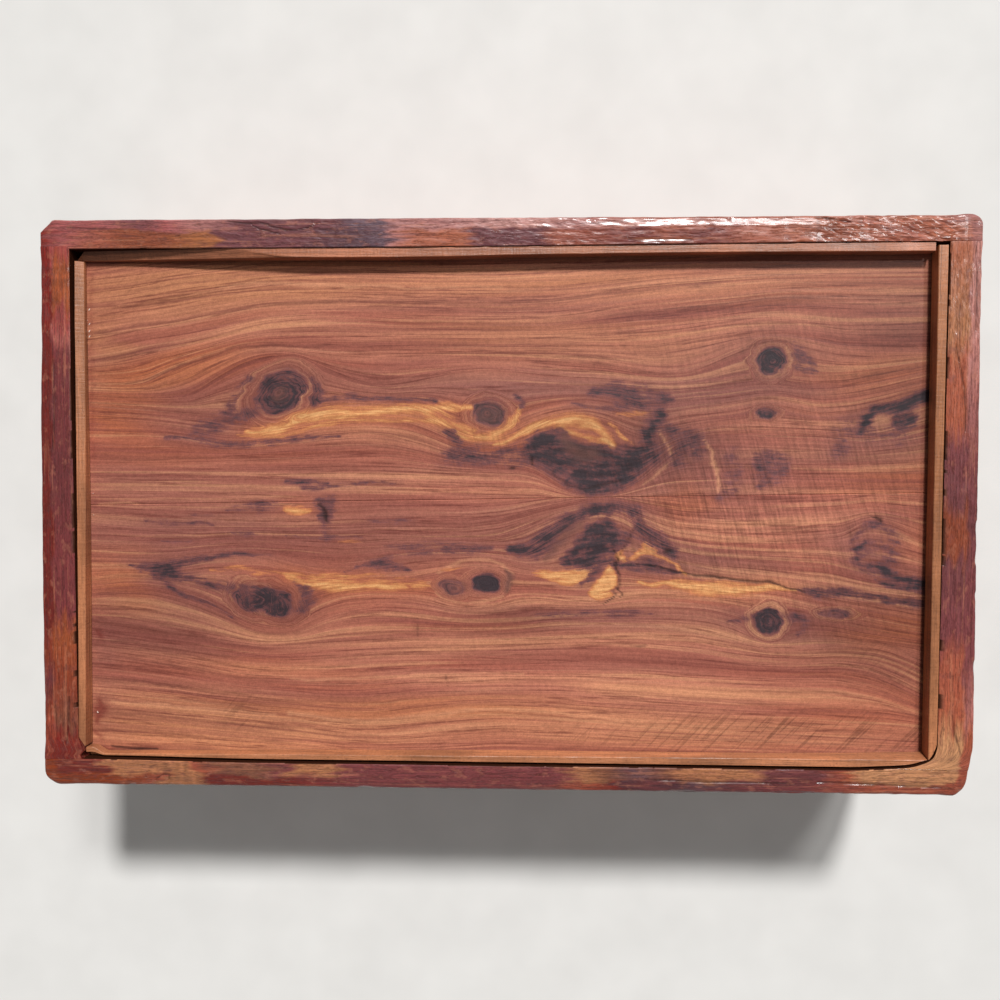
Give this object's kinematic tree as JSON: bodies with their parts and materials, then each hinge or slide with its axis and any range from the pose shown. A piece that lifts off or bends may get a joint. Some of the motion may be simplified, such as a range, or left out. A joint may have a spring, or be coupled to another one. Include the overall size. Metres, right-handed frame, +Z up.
{
  "type": "sliding lid wooden tool box",
  "caption": "Shallow cedar box for hand tools, with a book-matched lid that slides out through a slot in one end and stays captive.",
  "frame": {"origin": "centre of the outer bottom rectangle, on the surface that the box stands on", "axes": "+X along the length towards the slot end where the lid comes out, +Y across towards the back wall, +Z up through the lid"},
  "size_m": [0.381, 0.234, 0.0889],
  "materials": {
    "cedar_wall": "red cedar under a glossy, uneven clear varnish",
    "cedar_lid": "knotty red cedar heartwood, wiped with a satin clear coat",
    "cedar_strip": "pale brown cedar, rough sawn, with a thin clear coat",
    "cedar_floor": "bare planed cedar",
    "dowel_wood": "pale hardwood dowel, cut flush and varnished over"
  },
  "bodies": {
    "box": {"front_wall": "cedar_wall", "back_wall": "cedar_wall", "closed_end_wall": "cedar_wall", "slot_end_wall": "cedar_wall", "slot_end_rail": "cedar_wall", "front_lip_strip": "cedar_strip", "back_lip_strip": "cedar_strip", "slot_end_strip": "cedar_strip", "front_lid_runner": "cedar_strip", "back_lid_runner": "cedar_strip", "floor_board_front": "cedar_floor", "floor_board_middle": "cedar_floor", "floor_board_back": "cedar_floor", "closed_end_dowels_front": "dowel_wood", "closed_end_dowels_back": "dowel_wood", "slot_end_dowels_front": "dowel_wood", "slot_end_dowels_back": "dowel_wood", "rail_pin_front": "dowel_wood", "rail_pin_back": "dowel_wood"},
    "lid": {"lid_board_front": "cedar_lid", "lid_board_back": "cedar_lid", "lid_pull_batten": "cedar_strip"}
  },
  "joints": [
    {"name": "lid_slide", "type": "slide", "parent": "box", "child": "lid", "axis": [1, 0, 0], "range_m": [0, 0.346]}
  ]
}
